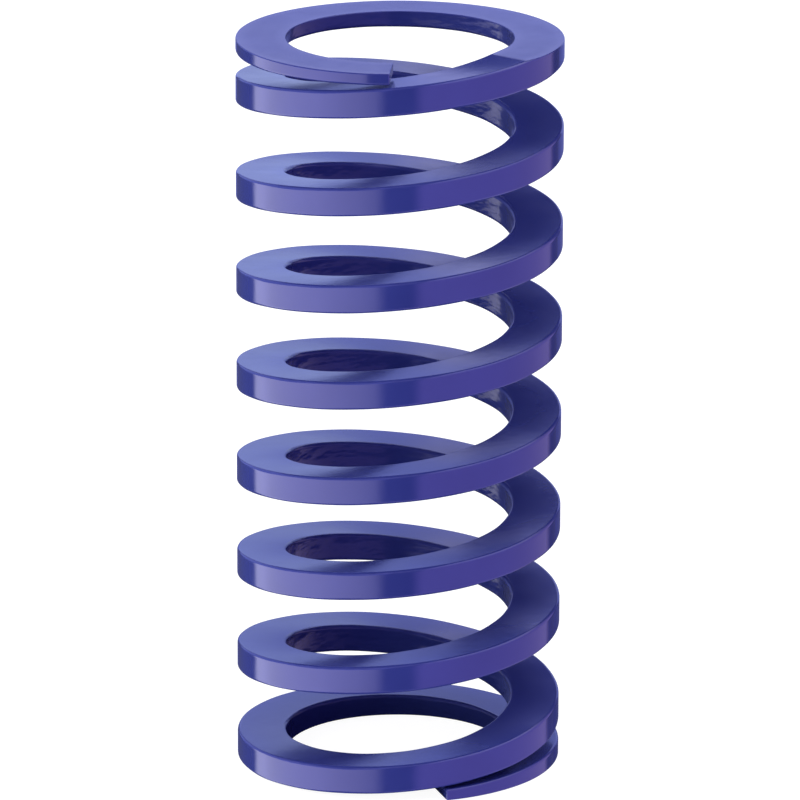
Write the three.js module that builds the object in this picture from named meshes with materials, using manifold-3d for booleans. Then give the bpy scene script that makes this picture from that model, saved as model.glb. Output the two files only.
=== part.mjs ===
// A helical compression spring of rectangular wire, wound right-hand, with both ends closed and ground flat.
// Millimetres and degrees, +Z up. The origin is on the spring's axis, in the plane of the bottom ground face.
// The spring is one wire. It is modelled as short lengths of that wire, one after another, because each
// length sinks by its own share when the spring is pressed.

import * as THREE from "three";
import Module from "manifold-3d";
import { mergeVertices } from "three/addons/utils/BufferGeometryUtils.js";

// Driving dimensions.
const OUTER_RADIUS = 19.7; // works in a 40 mm hole
const WIRE_WIDTH = 6; // across the wire, along the spring's radius
const WIRE_HEIGHT = 3.45; // across the wire, along the spring's axis
const EDGE_CHAMFER = 0.3; // the wire's softened edges
const FREE_LENGTH = 90; // over the two ground faces, unloaded
const TIP_THICKNESS = 1.4; // what grinding leaves of the wire at its two tips
const START_AZIMUTH = -72.7; // bottom tip, counter-clockwise from +X seen from above
const END_AZIMUTH = 3146.5; // top tip, counted on through every turn
const TIP_PITCH = 4.2; // rise per turn at the bottom tip

// Where the wire's rise per turn changes, counted in turns from the bottom tip: the change starts at "from",
// takes "over" turns and ends at "pitch", in mm, or at "active" times the active pitch.
const TURNS = (END_AZIMUTH - START_AZIMUTH) / 360;
const BENDS = [
  { from: 0.08, over: 0.12, pitch: 2 }, // settles into the closed bottom coil
  { from: 0.627, over: 0.537, active: 1.207 }, // lifts off it, a little steeper than it goes on
  { from: 1.164, over: 0.54, active: 1 }, // settles to the active pitch
  { from: TURNS - 0.914, over: 0.308, pitch: 1.245 }, // closes onto the top coil
];

// How the wire is divided into lengths.
const LENGTH_ANGLE = 90; // each length is a quarter turn
const FIRST_CUT = -45; // the cut nearest the bottom tip
const CUT_GAP = 0.3; // clear space between one length and the next
const STEPS_PER_LENGTH = 12;
const END_LENGTHS = 4; // full quarter turns that belong to each end coil, besides its tip
const SIDES = ["right", "back", "left", "front"]; // the quarters in winding order, seen from -Y

const PAINT = { color: 0x5f5fae, roughness: 0.3, metalness: 0.0 };

const MEAN_RADIUS = OUTER_RADIUS - WIRE_WIDTH / 2;
const HALF_GAP_ANGLE = THREE.MathUtils.radToDeg(CUT_GAP / 2 / MEAN_RADIUS);

// The integral of a smooth step from 0 to 1, which grows as x - 1/2 once the step is over.
function smoothStepIntegral(x) {
  if (x <= 0) return 0;
  if (x >= 1) return x - 0.5;
  return x ** 3 - x ** 4 / 2;
}

// How far the wire has risen at a number of turns from the bottom tip.
function riseAt(turns, activePitch) {
  let pitch = TIP_PITCH;
  let rise = pitch * turns;
  for (const bend of BENDS) {
    const next = bend.pitch ?? bend.active * activePitch;
    rise += (next - pitch) * bend.over * smoothStepIntegral((turns - bend.from) / bend.over);
    pitch = next;
  }
  return rise;
}

// The active pitch is what brings the top tip to the free length.
const TIP_TO_TIP_RISE = FREE_LENGTH - 2 * TIP_THICKNESS + WIRE_HEIGHT;
const RISE_WITHOUT_PITCH = riseAt(TURNS, 0);
const ACTIVE_PITCH = (TIP_TO_TIP_RISE - RISE_WITHOUT_PITCH) / (riseAt(TURNS, 1) - RISE_WITHOUT_PITCH);

// Height of the wire's centre line at an azimuth, before grinding.
function wireHeightAt(azimuth) {
  return TIP_THICKNESS - WIRE_HEIGHT / 2 + riseAt((azimuth - START_AZIMUTH) / 360, ACTIVE_PITCH);
}

// The centre line of one length of wire. Its frames keep the wire's section upright and square to the axis.
class WireLine extends THREE.Curve {
  constructor(from, to) {
    super();
    this.from = from;
    this.to = to;
  }

  azimuthAt(u) {
    return this.from + (this.to - this.from) * u;
  }

  getPoint(u, target = new THREE.Vector3()) {
    const angle = THREE.MathUtils.degToRad(this.azimuthAt(u));
    return target.set(
      MEAN_RADIUS * Math.cos(angle),
      MEAN_RADIUS * Math.sin(angle),
      wireHeightAt(this.azimuthAt(u)),
    );
  }

  getPointAt(u, target) {
    return this.getPoint(u, target);
  }

  computeFrenetFrames(segments) {
    const frames = { tangents: [], normals: [], binormals: [] };
    for (let i = 0; i <= segments; i++) {
      const angle = THREE.MathUtils.degToRad(this.azimuthAt(i / segments));
      frames.tangents.push(new THREE.Vector3(-Math.sin(angle), Math.cos(angle), 0));
      frames.normals.push(new THREE.Vector3(-Math.cos(angle), -Math.sin(angle), 0));
      frames.binormals.push(new THREE.Vector3(0, 0, 1));
    }
    return frames;
  }
}

// The wire's section, a rectangle with chamfered edges: X towards the spring's axis, Y up.
function wireSection() {
  const x = WIRE_WIDTH / 2;
  const y = WIRE_HEIGHT / 2;
  const c = EDGE_CHAMFER;
  const outline = [
    [-x + c, -y],
    [x - c, -y],
    [x, -y + c],
    [x, y - c],
    [x - c, y],
    [-x + c, y],
    [-x, y - c],
    [-x, -y + c],
  ];
  return new THREE.Shape(outline.map(([px, py]) => new THREE.Vector2(px, py)));
}

function wireLength(from, to) {
  const steps = Math.max(2, Math.round((STEPS_PER_LENGTH * (to - from)) / LENGTH_ANGLE));
  return new THREE.ExtrudeGeometry(wireSection(), { steps, extrudePath: new WireLine(from, to) });
}

const wasm = await Module();
wasm.setup();

function toSolid(geometry) {
  const bare = geometry.clone();
  bare.deleteAttribute("normal");
  bare.deleteAttribute("uv");
  const merged = mergeVertices(bare, 1e-4);
  const mesh = new wasm.Mesh({
    numProp: 3,
    vertProperties: new Float32Array(merged.attributes.position.array),
    triVerts: new Uint32Array(merged.index.array),
  });
  return new wasm.Manifold(mesh);
}

function toGeometry(solid) {
  const mesh = solid.getMesh();
  const geometry = new THREE.BufferGeometry();
  geometry.setAttribute("position", new THREE.BufferAttribute(mesh.vertProperties, mesh.numProp));
  geometry.setIndex(new THREE.BufferAttribute(mesh.triVerts, 1));
  return geometry;
}

// Grinding takes off whatever stands past the two end planes.
function grind(geometry) {
  const size = 3 * OUTER_RADIUS;
  const wheel = new THREE.BoxGeometry(size, size, size);
  const below = wheel.clone().translate(0, 0, -size / 2);
  const above = wheel.clone().translate(0, 0, FREE_LENGTH + size / 2);
  return toGeometry(toSolid(geometry).subtract(toSolid(below)).subtract(toSolid(above)));
}

// The lengths from the bottom tip to the top tip: { name, from, to, ground }.
function listLengths() {
  const count = Math.floor((END_AZIMUTH - FIRST_CUT) / LENGTH_ANGLE);
  const lastCut = FIRST_CUT + count * LENGTH_ANGLE;
  const lengths = [{ name: "bottom_coil_tip", from: START_AZIMUTH, to: FIRST_CUT - HALF_GAP_ANGLE, ground: true }];
  for (let i = 0; i < count; i++) {
    const side = SIDES[i % SIDES.length];
    const inBottom = i < END_LENGTHS;
    const inTop = i >= count - END_LENGTHS;
    const turn = Math.floor(i / SIDES.length);
    const coil = inBottom ? "bottom_coil" : inTop ? "top_coil" : `coil_${turn}`;
    const start = FIRST_CUT + i * LENGTH_ANGLE;
    lengths.push({
      name: `${coil}_${side}`,
      from: start + HALF_GAP_ANGLE,
      to: start + LENGTH_ANGLE - HALF_GAP_ANGLE,
      ground: inBottom || inTop,
    });
  }
  lengths.push({ name: "top_coil_tip", from: lastCut + HALF_GAP_ANGLE, to: END_AZIMUTH, ground: true });
  return lengths;
}

const spring = new THREE.Group();
spring.name = "coil_spring";

for (const { name, from, to, ground } of listLengths()) {
  const wire = wireLength(from, to);
  const mesh = new THREE.Mesh(ground ? grind(wire) : wire, new THREE.MeshStandardMaterial(PAINT));
  mesh.name = name;
  spring.add(mesh);
}

export default spring;
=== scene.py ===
import math

import bpy
import numpy as np
from mathutils import Matrix, Vector


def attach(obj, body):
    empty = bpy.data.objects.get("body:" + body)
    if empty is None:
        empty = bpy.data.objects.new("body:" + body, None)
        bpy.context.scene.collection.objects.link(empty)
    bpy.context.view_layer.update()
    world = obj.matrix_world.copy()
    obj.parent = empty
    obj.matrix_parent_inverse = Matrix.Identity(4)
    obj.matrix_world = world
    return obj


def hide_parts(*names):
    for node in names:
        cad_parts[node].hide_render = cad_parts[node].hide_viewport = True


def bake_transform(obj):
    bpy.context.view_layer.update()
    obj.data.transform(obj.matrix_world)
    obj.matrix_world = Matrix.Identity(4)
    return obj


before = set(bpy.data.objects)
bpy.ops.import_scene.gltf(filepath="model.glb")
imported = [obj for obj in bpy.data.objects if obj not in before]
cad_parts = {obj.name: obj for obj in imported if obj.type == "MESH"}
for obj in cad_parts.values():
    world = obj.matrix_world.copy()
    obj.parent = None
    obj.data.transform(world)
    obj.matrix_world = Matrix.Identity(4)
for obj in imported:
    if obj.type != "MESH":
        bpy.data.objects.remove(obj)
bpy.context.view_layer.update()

# A compression spring wound from one rectangular wire. Its dimensions are the CAD's, in mm and degrees.
# A place on the wire is given by t, the number of turns from the bottom tip.

# ---------------------------------------------------------------- dimensions
MM = 0.001
OUTER_RADIUS = 19.7
WIRE_WIDTH = 6.0
WIRE_HEIGHT = 3.45
FREE_LENGTH = 90.0
TIP_THICKNESS = 1.4  # what grinding leaves of the wire at its two tips
START_AZIMUTH = -72.7
END_AZIMUTH = 3146.5
TIP_PITCH = 4.2
TURNS = (END_AZIMUTH - START_AZIMUTH) / 360.0
# Where the wire's rise per turn changes: (from and over in turns, the new pitch in mm, or None and then the
# new pitch as a share of the active pitch).
BENDS = [
    (0.08, 0.12, 2.0, None),
    (0.627, 0.537, None, 1.207),
    (1.164, 0.54, None, 1.0),
    (TURNS - 0.914, 0.308, 1.245, None),
]
INNER_RADIUS = OUTER_RADIUS - WIRE_WIDTH
MEAN_RADIUS = (OUTER_RADIUS + INNER_RADIUS) / 2

# The wire's edges, which the CAD has as plain chamfers.
OUTER_CORNER = 0.36  # rounding of the wire's outer edges
INNER_CORNER = 0.45  # and of its inner edges
GROUND_CORNER = 0.13  # rounding of an edge left by grinding
GROUND_FADE = 0.25  # the depth of grinding that turns one kind of edge into the other
CORNER_DRIFT = [(0.10, 37.0, 0.0), (0.07, 91.0, 1.3)]  # waves in the rounding: (share, radians a turn, phase)
TIP_CORNER = 0.16  # rounding of the two cut ends
TIP_BEND = 0.24  # the cutter drew the top tip in a little
TIP_BEND_OVER = 0.0215  # over this many turns
LEAN = math.radians(1.2)  # winding tips the wire's top face in, towards the axis
LEAN_FADE = 1.2  # the lean fades out as the wire comes this close to an end plane

# The active wire runs from the cut after the bottom coil to the cut before the top coil.
FIRST_CUT = -45.0
QUARTER = 90.0
END_LENGTHS = 4
CUTS = int((END_AZIMUTH - FIRST_CUT) // QUARTER)
SIDES = ["right", "back", "left", "front"]


def turns_at_cut(i):
    return (FIRST_CUT + QUARTER * i - START_AZIMUTH) / 360.0


ACTIVE_FROM = turns_at_cut(END_LENGTHS)
ACTIVE_TO = turns_at_cut(CUTS - END_LENGTHS)

# How finely the wire is drawn.
CORNER_STEPS = 5
FACE_STEPS = 4
TIP_STEPS = 4
BOTTOM_STEPS = 156
TOP_STEPS = 162
PARTS_PER_QUARTER = 6
PART_STEPS = 6


# ---------------------------------------------------------------- the wire's path
def smooth_step_integral(x):
    """The integral of a smooth step from 0 to 1."""
    x = np.asarray(x, float)
    return np.where(x <= 0, 0.0, np.where(x >= 1, x - 0.5, x**3 - x**4 / 2))


def rise_at(t, active_pitch):
    """How far the wire has risen at t."""
    pitch = TIP_PITCH
    rise = pitch * np.asarray(t, float)
    for start, over, value, share in BENDS:
        new_pitch = value if share is None else share * active_pitch
        rise = rise + (new_pitch - pitch) * over * smooth_step_integral((t - start) / over)
        pitch = new_pitch
    return rise


# The active pitch is what brings the top tip to the free length.
TOTAL_RISE = FREE_LENGTH - 2 * TIP_THICKNESS + WIRE_HEIGHT
ACTIVE_PITCH = (TOTAL_RISE - rise_at(TURNS, 0)) / (rise_at(TURNS, 1) - rise_at(TURNS, 0))


def wound_faces(t):
    """The heights of the wire's underside and top at t, before grinding."""
    centre = float(TIP_THICKNESS - WIRE_HEIGHT / 2 + rise_at(t, ACTIVE_PITCH))
    return centre - WIRE_HEIGHT / 2, centre + WIRE_HEIGHT / 2


def directions(t):
    """The unit vectors at t: out from the axis, on along the wire as seen from above, and up."""
    a = math.radians(START_AZIMUTH + 360.0 * t)
    out = np.array([math.cos(a), math.sin(a), 0.0])
    onward = np.array([-math.sin(a), math.cos(a), 0.0])
    up = np.array([0.0, 0.0, 1.0])
    return out, onward, up


# ---------------------------------------------------------------- the wire's section
# The columns of a section's rows: a point's radius and height in mm, its outward normal in that plane as an
# outward and an upward part, and then the masks that the paint reads.
RADIUS, HEIGHT, OUT, UP, EDGE = range(5)
MASKS = ("wire_edge", "ground_face", "inner_wall", "flat_face")


def corner_rounding(corner, cut, t):
    """An edge's rounding at t, where grinding has taken the depth cut off the face beside it."""
    ground = min(1.0, cut / GROUND_FADE)
    drift = 1 + sum(share * math.sin(rate * t + phase) for share, rate, phase in CORNER_DRIFT)
    return (corner * (1 - ground) + GROUND_CORNER * ground) * drift


def lean_slope(t):
    """The section's lean at t, as a slope. It fades out near the two end planes."""
    low, high = wound_faces(t)
    room = min(max(0.0, min(low, FREE_LENGTH - high) / LEAN_FADE), 1.0)
    return math.tan(LEAN) * room * room * (3 - 2 * room)


def upright_section(t):
    """The section at t before it leans, as rows."""
    low, high = wound_faces(t)
    cut_low, cut_high = max(0.0, -low), max(0.0, high - FREE_LENGTH)
    low, high = max(low, 0.0), min(high, FREE_LENGTH)
    r1 = corner_rounding(OUTER_CORNER, cut_high, t)
    r2 = corner_rounding(INNER_CORNER, cut_high, t)
    r3 = corner_rounding(INNER_CORNER, cut_low, t)
    r4 = corner_rounding(OUTER_CORNER, cut_low, t)
    # each corner's centre and rounding, and whether the face that follows it is ground, inner or flat
    corners = [
        (OUTER_RADIUS - r1, high - r1, r1, cut_high > 0, False, True),
        (INNER_RADIUS + r2, high - r2, r2, False, True, False),
        (INNER_RADIUS + r3, low + r3, r3, cut_low > 0, False, True),
        (OUTER_RADIUS - r4, low + r4, r4, False, False, False),
    ]
    rows = []
    for i, (x, z, r, ground, inner, flat) in enumerate(corners):
        for s in range(CORNER_STEPS + 1):
            a = math.radians(90.0 * i + 90.0 * s / CORNER_STEPS)
            out, up = math.cos(a), math.sin(a)
            edge = math.sin(math.pi * s / CORNER_STEPS)
            rows.append([x + r * out, z + r * up, out, up, edge, 0.0, max(0.0, -out), abs(up) ** 3])
        # the face has the normal that the corner ends with
        next_x, next_z, next_r = corners[(i + 1) % 4][:3]
        start = (x + r * out, z + r * up)
        end = (next_x + next_r * out, next_z + next_r * up)
        for s in range(1, FACE_STEPS):
            k = s / FACE_STEPS
            point = [p + (q - p) * k for p, q in zip(start, end)]
            rows.append([*point, out, up, 0.0, float(ground), float(inner), float(flat)])
    return np.array(rows)


def section(t):
    """The section at t, one row for each point. The rows start at the outer top edge and go in along the top
    face, down the inner wall, out along the underside and up the outer face."""
    rows = upright_section(t)
    lean = lean_slope(t)
    rows[:, HEIGHT] += (rows[:, RADIUS] - MEAN_RADIUS) * lean
    rows[:, HEIGHT] = np.clip(rows[:, HEIGHT], 0.0, FREE_LENGTH)
    rows[:, OUT] -= lean * rows[:, UP]
    rows[:, OUT:EDGE] /= np.linalg.norm(rows[:, OUT:EDGE], axis=1)[:, None]
    return rows


def in_space(outwards, upwards, t):
    """Turns pairs of values in the section's plane at t into vectors."""
    out, _, up = directions(t)
    return outwards[:, None] * out + upwards[:, None] * up


def place(rows, t, inset=0.0, shift=0.0):
    """The section's points in space, in mm. inset shrinks it, and shift moves it along the wire."""
    bend = TIP_BEND * max(0.0, 1.0 - (TURNS - t) / TIP_BEND_OVER)
    radius = rows[:, RADIUS] - inset * rows[:, OUT] - bend
    height = rows[:, HEIGHT] - inset * rows[:, UP]
    return in_space(radius, height, t) + shift * directions(t)[1]


def ring(t):
    """The section at t: its points in space, their smooth normals, and its rows."""
    rows = section(t)
    nearby = 2e-4
    along = place(section(t + nearby), t + nearby) - place(section(t - nearby), t - nearby)
    around = in_space(-rows[:, UP], rows[:, OUT], t)
    outward = in_space(rows[:, OUT], rows[:, UP], t)
    normals = np.cross(along, around)
    normals /= np.linalg.norm(normals, axis=1)[:, None]
    normals *= np.sign((normals * outward).sum(1))[:, None]
    return place(rows, t), normals, rows


def tip_rings(t, direction):
    """Rings that round over a cut end. direction is -1 at the bottom tip and 1 at the top tip."""
    rows = section(t)
    outward = in_space(rows[:, OUT], rows[:, UP], t)
    endward = direction * directions(t)[1]
    rings = []
    for s in range(1, TIP_STEPS + 1):
        a = math.radians(90.0 * s / TIP_STEPS)
        points = place(rows, t, TIP_CORNER * (1 - math.cos(a)), direction * TIP_CORNER * math.sin(a))
        tip_rows = rows.copy()
        tip_rows[:, EDGE] = np.maximum(rows[:, EDGE], math.sin(2 * a))
        rings.append((points, math.cos(a) * outward + math.sin(a) * endward, tip_rows))
    return rings


# ---------------------------------------------------------------- a piece of the wire
def wire_rings(t0, t1, steps, tip_at_start, tip_at_end):
    rings = [ring(t0 + (t1 - t0) * i / steps) for i in range(steps + 1)]
    inset = TIP_CORNER / (2 * math.pi * MEAN_RADIUS)
    if tip_at_start:
        rings[0] = ring(t0 + inset)
        rings = tip_rings(t0 + inset, -1)[::-1] + rings
    if tip_at_end:
        rings[-1] = ring(t1 - inset)
        rings = rings + tip_rings(t1 - inset, 1)
    return rings


def tube_faces(ring_count, n):
    """The faces of a tube with n points a ring. The last two close its start and its end."""
    faces = []
    for i in range(ring_count - 1):
        for j in range(n):
            k = (j + 1) % n
            faces.append((i * n + j, (i + 1) * n + j, (i + 1) * n + k, i * n + k))
    last = (ring_count - 1) * n
    faces.append(tuple(range(n)))
    faces.append(tuple(last + j for j in reversed(range(n))))
    return faces


def set_normals(mesh, normals, t0, t1):
    """Gives the side faces the wire's own normals, so that neighbours meet without a seam. The two end faces
    face straight along the wire."""
    corner_points = np.zeros(len(mesh.loops), int)
    mesh.loops.foreach_get("vertex_index", corner_points)
    corner_normals = normals[corner_points]
    count = len(mesh.polygons)
    for index, t, sign in ((count - 2, t0, -1), (count - 1, t1, 1)):
        onward = directions(t)[1]
        for corner in mesh.polygons[index].loop_indices:
            corner_normals[corner] = sign * onward
    mesh.polygons.foreach_set("use_smooth", [True] * count)
    mesh.normals_split_custom_set(corner_normals.tolist())


def wire_mesh(name, t0, t1, steps, tip_at_start=False, tip_at_end=False):
    rings = wire_rings(t0, t1, steps, tip_at_start, tip_at_end)
    points, normals, rows = (np.concatenate(parts) for parts in zip(*rings))
    mesh = bpy.data.meshes.new(name)
    mesh.from_pydata((points * MM).tolist(), [], tube_faces(len(rings), len(rings[0][0])))
    mesh.update()
    set_normals(mesh, normals, t0, t1)
    for column, label in enumerate(MASKS, start=EDGE):
        attribute = mesh.attributes.new(label, "FLOAT", "POINT")
        attribute.data.foreach_set("value", rows[:, column].astype(np.float32))
    piece = bpy.data.objects.new(name, mesh)
    bpy.context.scene.collection.objects.link(piece)
    return piece


# ---------------------------------------------------------------- nodes
def feed(tree, socket, value):
    """Links a socket to another node's output, or sets it to a plain value."""
    if isinstance(value, bpy.types.NodeSocket):
        tree.links.new(value, socket)
    else:
        socket.default_value = value


def math_node(tree, operation, *values, clamp=False):
    made = tree.nodes.new("ShaderNodeMath")
    made.operation = operation
    made.use_clamp = clamp
    for socket, value in zip(made.inputs, values):
        feed(tree, socket, value)
    return made.outputs[0]


def mix_colour(tree, share, first, second, blend="MIX"):
    made = tree.nodes.new("ShaderNodeMix")
    made.data_type = "RGBA"
    made.blend_type = blend
    feed(tree, made.inputs["Factor"], share)
    feed(tree, made.inputs[6], first)
    feed(tree, made.inputs[7], second)
    return made.outputs[2]


def ramp(tree, value, stops):
    made = tree.nodes.new("ShaderNodeValToRGB")
    elements = made.color_ramp.elements
    elements.remove(elements[-1])
    elements[0].position = stops[0][0]
    elements[0].color = (*stops[0][1], 1)
    for position, colour in stops[1:]:
        elements.new(position).color = (*colour, 1)
    tree.links.new(value, made.inputs["Fac"])
    return made.outputs["Color"]


def noise(tree, vector, scale, detail=2.0, rough=0.5):
    made = tree.nodes.new("ShaderNodeTexNoise")
    made.inputs["Scale"].default_value = scale
    made.inputs["Detail"].default_value = detail
    made.inputs["Roughness"].default_value = rough
    tree.links.new(vector, made.inputs["Vector"])
    return made.outputs["Fac"]


def stretched_noise(tree, vector, scales, detail, turn=0.0):
    """Noise with a scale for each axis, after a turn about Z."""
    mapping = tree.nodes.new("ShaderNodeMapping")
    mapping.inputs["Rotation"].default_value = (0, 0, turn)
    mapping.inputs["Scale"].default_value = scales
    tree.links.new(vector, mapping.inputs["Vector"])
    return noise(tree, mapping.outputs[0], 1.0, detail)


def bump(tree, height, strength, distance, normal=None):
    made = tree.nodes.new("ShaderNodeBump")
    made.inputs["Strength"].default_value = strength
    made.inputs["Distance"].default_value = distance
    tree.links.new(height, made.inputs["Height"])
    if normal is not None:
        tree.links.new(normal, made.inputs["Normal"])
    return made.outputs["Normal"]


# ---------------------------------------------------------------- paint
# Each list runs from the low to the high part of a noise: (its value, the colour or the roughness there).
COAT = [(0.30, (0.0155, 0.0215, 0.150)), (0.70, (0.0200, 0.0275, 0.178))]
ROUGHNESS = [(0.3, (0.085,) * 3), (0.7, (0.125,) * 3)]
COAT_ON_EDGES = (0.040, 0.045, 0.215, 1)
EDGE_SHARE = 0.55  # the most that shows of the colour on the edges
ROUGHER_BY = {"ground_face": 0.05, "flat_face": 0.05, "inner_wall": 0.06}
# painted shade: how much the inner walls' colour is darkened, for the shade that falls inside the coils
INNER_PAINTED_SHADE_BY = 0.15
INNER_LESS_GLOSS_BY = 0.72


def coat_colour(tree, coord, masks):
    """The coat runs a little thinner and thicker along the wire and thin on its edges; painted shade darkens
    it on the inner walls, for the shade inside the coils.
    """
    tone = ramp(tree, noise(tree, coord, scale=90.0, detail=3.0, rough=0.55), COAT)
    patches = noise(tree, coord, scale=900.0, detail=4.0, rough=0.6)
    patches = math_node(tree, "MULTIPLY", patches, EDGE_SHARE)
    thin = math_node(tree, "MULTIPLY", masks["wire_edge"], patches, clamp=True)
    colour = mix_colour(tree, thin, tone, COAT_ON_EDGES)
    # painted shade: the colour is darkened on the inner walls, where shade falls inside the coils
    inside = math_node(tree, "MULTIPLY_ADD", masks["inner_wall"], -INNER_PAINTED_SHADE_BY, 1.0)
    return mix_colour(tree, 1.0, colour, inside, "MULTIPLY")


def coat_roughness(tree, coord, masks):
    """A slow drift, and a duller film on the ground faces, on the flat faces and inside the coils."""
    rough = ramp(tree, noise(tree, coord, scale=260.0), ROUGHNESS)
    for label, amount in ROUGHER_BY.items():
        rough = math_node(tree, "ADD", rough, math_node(tree, "MULTIPLY", masks[label], amount))
    return rough


def coat_relief(tree, coord, masks):
    """Orange peel, fine dust, ripples inside the coils and the marks of grinding on the ends."""
    peel = noise(tree, coord, scale=750.0, detail=1.5, rough=0.45)
    dust = noise(tree, coord, scale=5200.0, detail=1.0)
    ripples = stretched_noise(tree, coord, scales=(260.0, 260.0, 620.0), detail=2.0)
    ripples = math_node(tree, "MULTIPLY", ripples, masks["inner_wall"])
    marks = stretched_noise(tree, coord, scales=(5200.0, 160.0, 1.0), detail=3.0, turn=0.6)
    marks = math_node(tree, "MULTIPLY", marks, masks["ground_face"])
    normal = bump(tree, peel, strength=0.10, distance=0.00006)
    normal = bump(tree, dust, strength=0.05, distance=0.00002, normal=normal)
    normal = bump(tree, ripples, strength=0.30, distance=0.0006, normal=normal)
    return bump(tree, marks, strength=0.10, distance=0.00004, normal=normal)


def make_paint():
    mat = bpy.data.materials.new("violet_blue_paint")
    mat.use_nodes = True
    tree = mat.node_tree
    coord = tree.nodes.new("ShaderNodeTexCoord").outputs["Object"]
    masks = {}
    for label in MASKS:
        attribute = tree.nodes.new("ShaderNodeAttribute")
        attribute.attribute_name = label
        masks[label] = attribute.outputs["Fac"]
    gloss = math_node(tree, "MULTIPLY_ADD", masks["inner_wall"], -INNER_LESS_GLOSS_BY, 1.0)
    shader = tree.nodes["Principled BSDF"]
    feed(tree, shader.inputs["Base Color"], coat_colour(tree, coord, masks))
    feed(tree, shader.inputs["Roughness"], coat_roughness(tree, coord, masks))
    feed(tree, shader.inputs["Specular IOR Level"], gloss)
    feed(tree, shader.inputs["Normal"], coat_relief(tree, coord, masks))
    feed(tree, shader.inputs["IOR"], 1.5)
    feed(tree, shader.inputs["Specular Tint"], (0.52, 0.48, 1.0, 1))
    return mat


# ---------------------------------------------------------------- the spring
def length_name(i):
    """The name of the CAD's i-th quarter turn, which starts at the i-th cut."""
    side = SIDES[i % 4]
    if i < END_LENGTHS:
        return "bottom_coil_" + side
    if i >= CUTS - END_LENGTHS:
        return "top_coil_" + side
    return f"coil_{i // 4}_{side}"


def finish_piece(piece):
    piece.data.materials.append(paint)


def make_end_coils():
    bottom = wire_mesh("bottom_coil_wire", 0.0, ACTIVE_FROM, BOTTOM_STEPS, tip_at_start=True)
    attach(bottom, "bottom_coil")
    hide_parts("bottom_coil_tip", *[length_name(i) for i in range(END_LENGTHS)])
    finish_piece(bottom)
    top = wire_mesh("top_coil_wire", ACTIVE_TO, TURNS, TOP_STEPS, tip_at_end=True)
    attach(top, "top_coil")
    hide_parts(*[length_name(i) for i in range(CUTS - END_LENGTHS, CUTS)], "top_coil_tip")
    finish_piece(top)


def blend_along_wire(piece):
    """Bakes the piece's placement into its mesh."""
    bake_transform(piece)


def make_active_coils():
    for i in range(END_LENGTHS, CUTS - END_LENGTHS):
        for part in range(PARTS_PER_QUARTER):
            t0 = turns_at_cut(i + part / PARTS_PER_QUARTER)
            t1 = turns_at_cut(i + (part + 1) / PARTS_PER_QUARTER)
            piece = wire_mesh(f"{length_name(i)}_wire_{part + 1}", t0, t1, PART_STEPS)
            finish_piece(piece)
            blend_along_wire(piece)
            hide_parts(length_name(i))


# ---------------------------------------------------------------- the studio, in metres
def stage_mesh(name, points, faces, material, seen_by):
    """Adds something that isn't part of the object, which only the kinds of ray in seen_by meet."""
    mesh = bpy.data.meshes.new(name)
    mesh.from_pydata(points, [], faces)
    mesh.materials.append(material)
    thing = bpy.data.objects.new(name, mesh)
    bpy.context.scene.collection.objects.link(thing)
    thing.visible_camera = "camera" in seen_by
    thing.visible_diffuse = "diffuse" in seen_by
    thing.visible_glossy = "glossy" in seen_by
    thing.visible_shadow = "shadow" in seen_by


def dull_material(name, colour, roughness, glow=0.0):
    """A surface without gloss, which may glow white."""
    mat = bpy.data.materials.new(name)
    mat.use_nodes = True
    shader = mat.node_tree.nodes["Principled BSDF"]
    shader.inputs["Base Color"].default_value = (*colour, 1)
    shader.inputs["Roughness"].default_value = roughness
    shader.inputs["Specular IOR Level"].default_value = 0.0
    shader.inputs["Emission Color"].default_value = (1, 1, 1, 1)
    shader.inputs["Emission Strength"].default_value = glow
    return mat


def light_material(name, colour=(1, 1, 1), strength=1.0):
    """A surface that only gives off light."""
    mat = bpy.data.materials.new(name)
    mat.use_nodes = True
    tree = mat.node_tree
    tree.nodes.clear()
    emit = tree.nodes.new("ShaderNodeEmission")
    emit.inputs["Color"].default_value = (*colour, 1)
    emit.inputs["Strength"].default_value = strength
    out = tree.nodes.new("ShaderNodeOutputMaterial")
    tree.links.new(emit.outputs[0], out.inputs["Surface"])
    return mat


def make_floor():
    """White, and met only by the camera: the world's light already stands for a floor's."""
    half, drop = 6.0, -0.00005
    points = [(-half, -half, drop), (half, -half, drop), (half, half, drop), (-half, half, drop)]
    material = dull_material("pale_floor", (0.20, 0.20, 0.20), roughness=0.9, glow=0.94)
    stage_mesh("floor", points, [(0, 1, 2, 3)], material, {"camera"})


def make_plinth():
    """A black disc under the spring keeps the studio's light from coming up through the bore."""
    count, radius, drop = 64, 19.0 * MM, -0.0001
    angles = [2 * math.pi * i / count for i in range(count)]
    points = [(radius * math.cos(a), radius * math.sin(a), drop) for a in angles]
    material = dull_material("plinth_black", (0.01, 0.01, 0.012), roughness=1.0)
    stage_mesh("plinth", points, [tuple(range(count))], material, {"diffuse", "glossy", "shadow"})


# What the reflector shows, as (height, colour): dark at its foot, then blue, then a bright band, then black.
REFLECTOR_STOPS = [
    (-0.160, (0.05, 0.05, 0.12)), (-0.050, (0.14, 0.15, 0.36)), (0.020, (0.20, 0.24, 0.66)),
    (0.045, (0.27, 0.33, 0.84)), (0.060, (0.40, 0.48, 1.00)), (0.077, (0.47, 0.58, 1.12)),
    (0.090, (0.53, 0.64, 1.10)), (0.108, (0.56, 0.66, 1.14)), (0.130, (0.36, 0.44, 1.02)),
    (0.165, (0.34, 0.41, 1.00)), (0.186, (0.56, 0.62, 1.15)), (0.198, (0.88, 0.92, 1.36)),
    (0.210, (0.90, 0.94, 1.38)), (0.220, (0.36, 0.40, 0.70)), (0.232, (0.08, 0.09, 0.22)),
    (0.260, (0.01, 0.01, 0.03)),
]
REFLECTOR_PEAK = 1.38  # the largest value above
REFLECTOR_GAIN = 1.08


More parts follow.
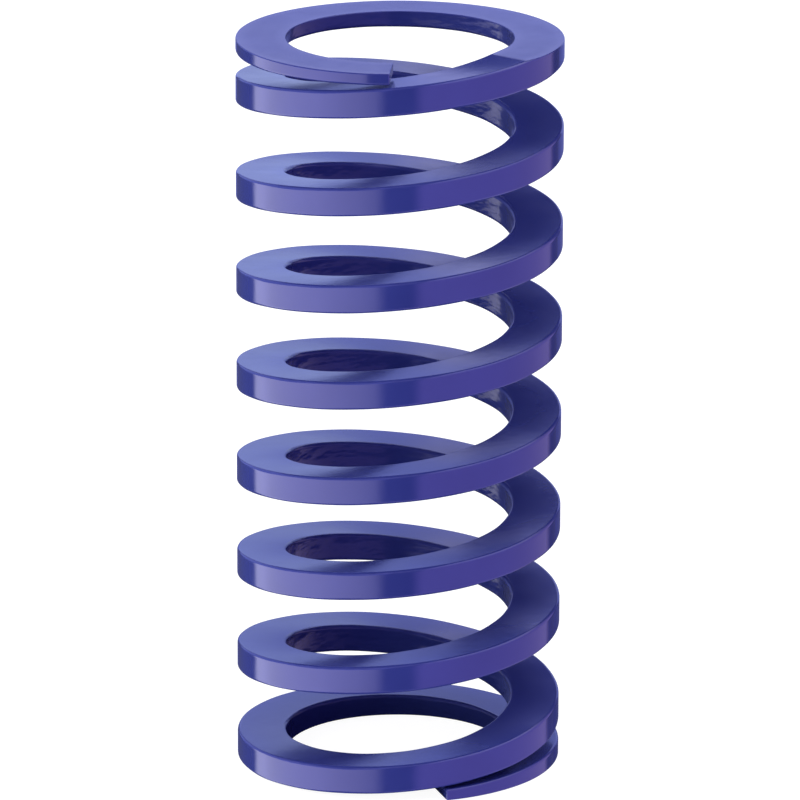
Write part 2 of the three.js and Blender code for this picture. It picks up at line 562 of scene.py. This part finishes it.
def make_reflector():
    """A graded panel standing well behind the object, seen only in its gloss."""
    left, right, low, high, away = -0.13, 0.26, -0.16, 0.44, 0.40
    points = [(left, away, low), (right, away, low), (right, away, high), (left, away, high)]
    material = light_material("reflector_light", strength=REFLECTOR_PEAK * REFLECTOR_GAIN)
    tree = material.node_tree
    split = tree.nodes.new("ShaderNodeSeparateXYZ")
    tree.links.new(tree.nodes.new("ShaderNodeTexCoord").outputs["Object"], split.inputs[0])
    span = high - low
    share = math_node(tree, "MULTIPLY_ADD", split.outputs["Z"], 1 / span, -low / span)
    stops = [((z - low) / span, tuple(v / REFLECTOR_PEAK for v in rgb)) for z, rgb in REFLECTOR_STOPS]
    tree.links.new(ramp(tree, share, stops), tree.nodes["Emission"].inputs["Color"])
    stage_mesh("reflector", points, [(0, 1, 2, 3)], material, {"glossy"})


def make_flags():
    """Two dark flags, one overhead and one far below, seen only in gloss: they dim the rounded edges."""
    material = light_material("flag_dark", (0.10, 0.11, 0.16))
    for name, x0, x1, y0, y1, z in (
        ("flag_above", -0.60, 0.12, -0.45, 0.39, 0.55),
        ("flag_below", -0.30, 0.30, -0.30, 0.30, -0.32),
    ):
        points = [(x0, y0, z), (x1, y0, z), (x1, y1, z), (x0, y1, z)]
        stage_mesh(name, points, [(0, 1, 2, 3)], material, {"glossy"})


def make_side_wall():
    """A dim blue wall round the left, above the horizon, seen only in gloss, so that the top faces seen from
    the right mirror it and not the bright soft box."""
    steps, away, low, high = 24, 0.90, 0.09, 0.75
    first, last = -158, -10  # degrees round from the front, the left is negative
    points = []
    for i in range(steps + 1):
        a = math.radians(first + (last - first) * i / steps)
        x, y = away * math.sin(a), -away * math.cos(a)
        points += [(x, y, low), (x, y, high)]
    faces = [(2 * i, 2 * i + 2, 2 * i + 3, 2 * i + 1) for i in range(steps)]
    material = light_material("side_wall_light", (0.42, 0.50, 1.00))
    stage_mesh("side_wall", points, faces, material, {"glossy"})


WORLD_LEVEL = 3.4  # the brightness that a ramp colour of 1 stands for
GREY, WARM, VIOLET = (1, 1, 1), (1, 1, 0.86), (1, 0.78, 1.25)
# The light round the object: (degrees round from the front, the left is negative; brightness; tint).
SOFT_BOXES = [
    (-180, 0.5, GREY), (-172, 0.10, GREY), (-126, 0.08, GREY),
    (-121, 2.3, GREY), (-112, 2.75, GREY), (-102, 2.7, WARM), (-80, 2.85, WARM), (-60, 2.8, WARM),
    (-40, 2.3, WARM), (-28, 2.0, WARM), (-17, 1.5, WARM),
    (-9, 0.15, GREY), (9, 0.12, GREY),
    (17, 0.92, VIOLET), (50, 0.95, VIOLET), (90, 0.85, VIOLET), (131, 0.72, VIOLET),
    (137, 0.08, GREY), (148, 0.10, GREY), (160, 0.40, GREY), (180, 0.5, GREY),
]
CAP = 1.85  # the light straight above and straight below
CAP_FROM, CAP_TO = math.radians(34), math.radians(54)  # the angle off level over which it takes over


def light_colour(value, tint):
    return tuple(value * part / WORLD_LEVEL for part in tint)


def make_studio():
    """Soft boxes all round, as light that depends only on direction: a bright one at the left, a dimmer one
    at the right, a gap between them at the front and dark gaps behind, and a soft light above and below."""
    world = bpy.data.worlds.new("studio")
    bpy.context.scene.world = world
    world.use_nodes = True
    tree = world.node_tree
    tree.nodes.clear()
    split = tree.nodes.new("ShaderNodeSeparateXYZ")
    tree.links.new(tree.nodes.new("ShaderNodeTexCoord").outputs["Generated"], split.inputs[0])
    x, y, z = split.outputs
    turn = math_node(tree, "ARCTAN2", x, math_node(tree, "MULTIPLY", y, -1.0))
    share = math_node(tree, "MULTIPLY_ADD", turn, 1 / (2 * math.pi), 0.5)
    stops = [((degrees + 180) / 360, light_colour(value, tint)) for degrees, value, tint in SOFT_BOXES]
    height = math_node(tree, "ABSOLUTE", math_node(tree, "ARCSINE", z))
    cap_share = tree.nodes.new("ShaderNodeMapRange")
    cap_share.interpolation_type = "SMOOTHSTEP"
    cap_share.inputs["From Min"].default_value = CAP_FROM
    cap_share.inputs["From Max"].default_value = CAP_TO
    tree.links.new(height, cap_share.inputs["Value"])
    around = ramp(tree, share, stops)
    cap = (*light_colour(CAP, GREY), 1)
    background = tree.nodes.new("ShaderNodeBackground")
    background.inputs["Strength"].default_value = WORLD_LEVEL
    feed(tree, background.inputs["Color"], mix_colour(tree, cap_share.outputs[0], around, cap))
    out = tree.nodes.new("ShaderNodeOutputWorld")
    tree.links.new(background.outputs[0], out.inputs["Surface"])
    world.cycles.sampling_method = "MANUAL"
    world.cycles.sample_map_resolution = 1024


def make_camera():
    """A long lens that looks a little down on the object from the front."""
    distance, elevation, roll = 859.168 * MM, math.radians(15.9613), math.radians(0.1681)
    target = Vector((0.1202, 0.0, 44.8234)) * MM
    ahead = Vector((0, math.cos(elevation), -math.sin(elevation)))
    level, upward = Vector((1, 0, 0)), Vector((0, math.sin(elevation), math.cos(elevation)))
    right = math.cos(roll) * level + math.sin(roll) * upward
    up = -math.sin(roll) * level + math.cos(roll) * upward
    data = bpy.data.cameras.new("camera")
    data.sensor_width = 36.0
    data.lens = 318.747
    data.clip_start = 0.01
    data.clip_end = 20.0
    camera = bpy.data.objects.new("camera", data)
    bpy.context.scene.collection.objects.link(camera)
    spin = Matrix((right, up, -ahead)).transposed()
    camera.matrix_world = Matrix.Translation(target - ahead * distance) @ spin.to_4x4()
    bpy.context.scene.camera = camera


paint = make_paint()
make_end_coils()
make_active_coils()
make_floor()
make_reflector()
make_plinth()
make_flags()
make_side_wall()
make_studio()
make_camera()
bpy.context.scene.view_settings.view_transform = "Standard"
